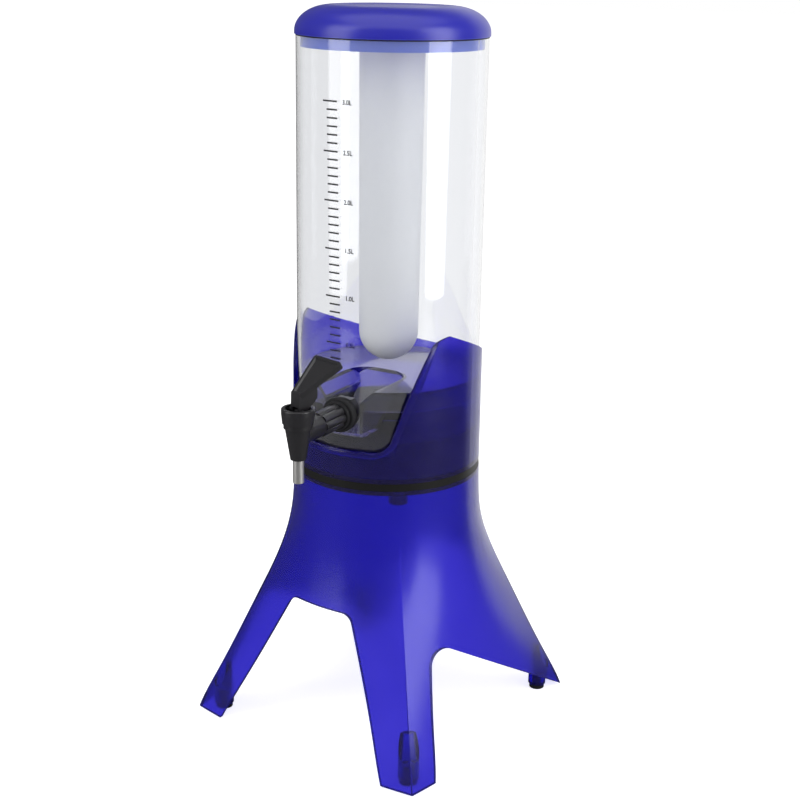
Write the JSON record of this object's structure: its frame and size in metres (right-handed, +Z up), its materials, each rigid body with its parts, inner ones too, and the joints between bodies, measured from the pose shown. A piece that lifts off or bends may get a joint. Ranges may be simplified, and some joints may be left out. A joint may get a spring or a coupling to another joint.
{
  "type": "draft beer dispenser",
  "caption": "Table-top beer tower: clear litre tube with hanging ice tube and domed lid, lever tap near its foot, in a slanted blue holder that swivels on a splayed four-legged stand.",
  "frame": {"origin": "where the tower's axis meets the table, in the middle of the four feet", "axes": "+Z up along the tower's axis; the tap points along -Y at rest, and the stand and holder are turned a few degrees under it as in the picture"},
  "size_m": [0.2393, 0.258, 0.5545],
  "materials": {
    "stand_blue": "translucent blue moulded plastic",
    "holder_blue": "translucent blue moulded plastic",
    "lid_blue": "glossy translucent blue plastic",
    "black_rubber": "matt black rubber",
    "ring_black": "satin black plastic",
    "steel": "brushed stainless steel",
    "screw_steel": "zinc-plated steel",
    "clear": "clear plastic",
    "clear_floor": "clear moulded plastic",
    "tap_black": "satin black plastic",
    "seal_white": "translucent silicone",
    "frost_white": "frosted white plastic",
    "stem_plastic": "white acetal"
  },
  "bodies": {
    "stand": {"base_shell": "stand_blue", "rubber_feet": "black_rubber", "swivel_ring": "ring_black"},
    "turntable": {"holder": "holder_blue", "swivel_retainer": "ring_black", "retainer_screws": "screw_steel"},
    "tower": {"beer_tube": "clear", "tube_floor": "clear_floor", "tap_body": "tap_black", "nozzle_tube": "steel", "flange_washer": "tap_black", "shank_collar": "tap_black", "inner_washer": "black_rubber", "lock_nut": "tap_black"},
    "bonnet": {"bonnet": "tap_black", "stem_seal": "black_rubber", "lever_pin": "tap_black"},
    "lever": {"lever": "tap_black"},
    "stem": {"valve_stem": "stem_plastic", "valve_plug": "black_rubber"},
    "lid": {"lid_cap": "lid_blue", "lid_seal": "seal_white"},
    "ice_tube": {"ice_tube": "frost_white", "ice_tube_seal": "seal_white"}
  },
  "joints": [
    {"name": "tower_swivel", "type": "hinge", "parent": "stand", "child": "turntable", "pos_m": [0, 0, 0.209], "axis": [0, 0, 1], "continuous": true},
    {"name": "tube_lift", "type": "slide", "parent": "turntable", "child": "tower", "axis": [0, 0, 1], "range_m": [0, 0.12]},
    {"name": "lid_lift", "type": "slide", "parent": "tower", "child": "lid", "axis": [0, 0, 1], "range_m": [0, 0.27]},
    {"name": "ice_tube_turn", "type": "hinge", "parent": "lid", "child": "ice_tube", "pos_m": [0, 0, 0.538], "axis": [0, 0, 1], "range_deg": [0, 90]},
    {"name": "lever_swivel", "type": "hinge", "parent": "tower", "child": "bonnet", "pos_m": [0, -0.126, 0.2745], "axis": [0, 0, 1], "range_deg": [-60, 60]},
    {"name": "lever_tilt", "type": "hinge", "parent": "bonnet", "child": "lever", "pos_m": [0, -0.126, 0.283], "axis": [0.9613, -0.2756, 0], "range_deg": [0, 45], "stiffness_Nm_per_rad": 0.06},
    {"name": "stem_lift", "type": "slide", "parent": "bonnet", "child": "stem", "axis": [0, 0, 1], "range_m": [0, 0.0026]}
  ],
  "couplings": [
    {"joint": "stem_lift", "follows": "lever_tilt", "m_per_rad": 0.0031831}
  ]
}
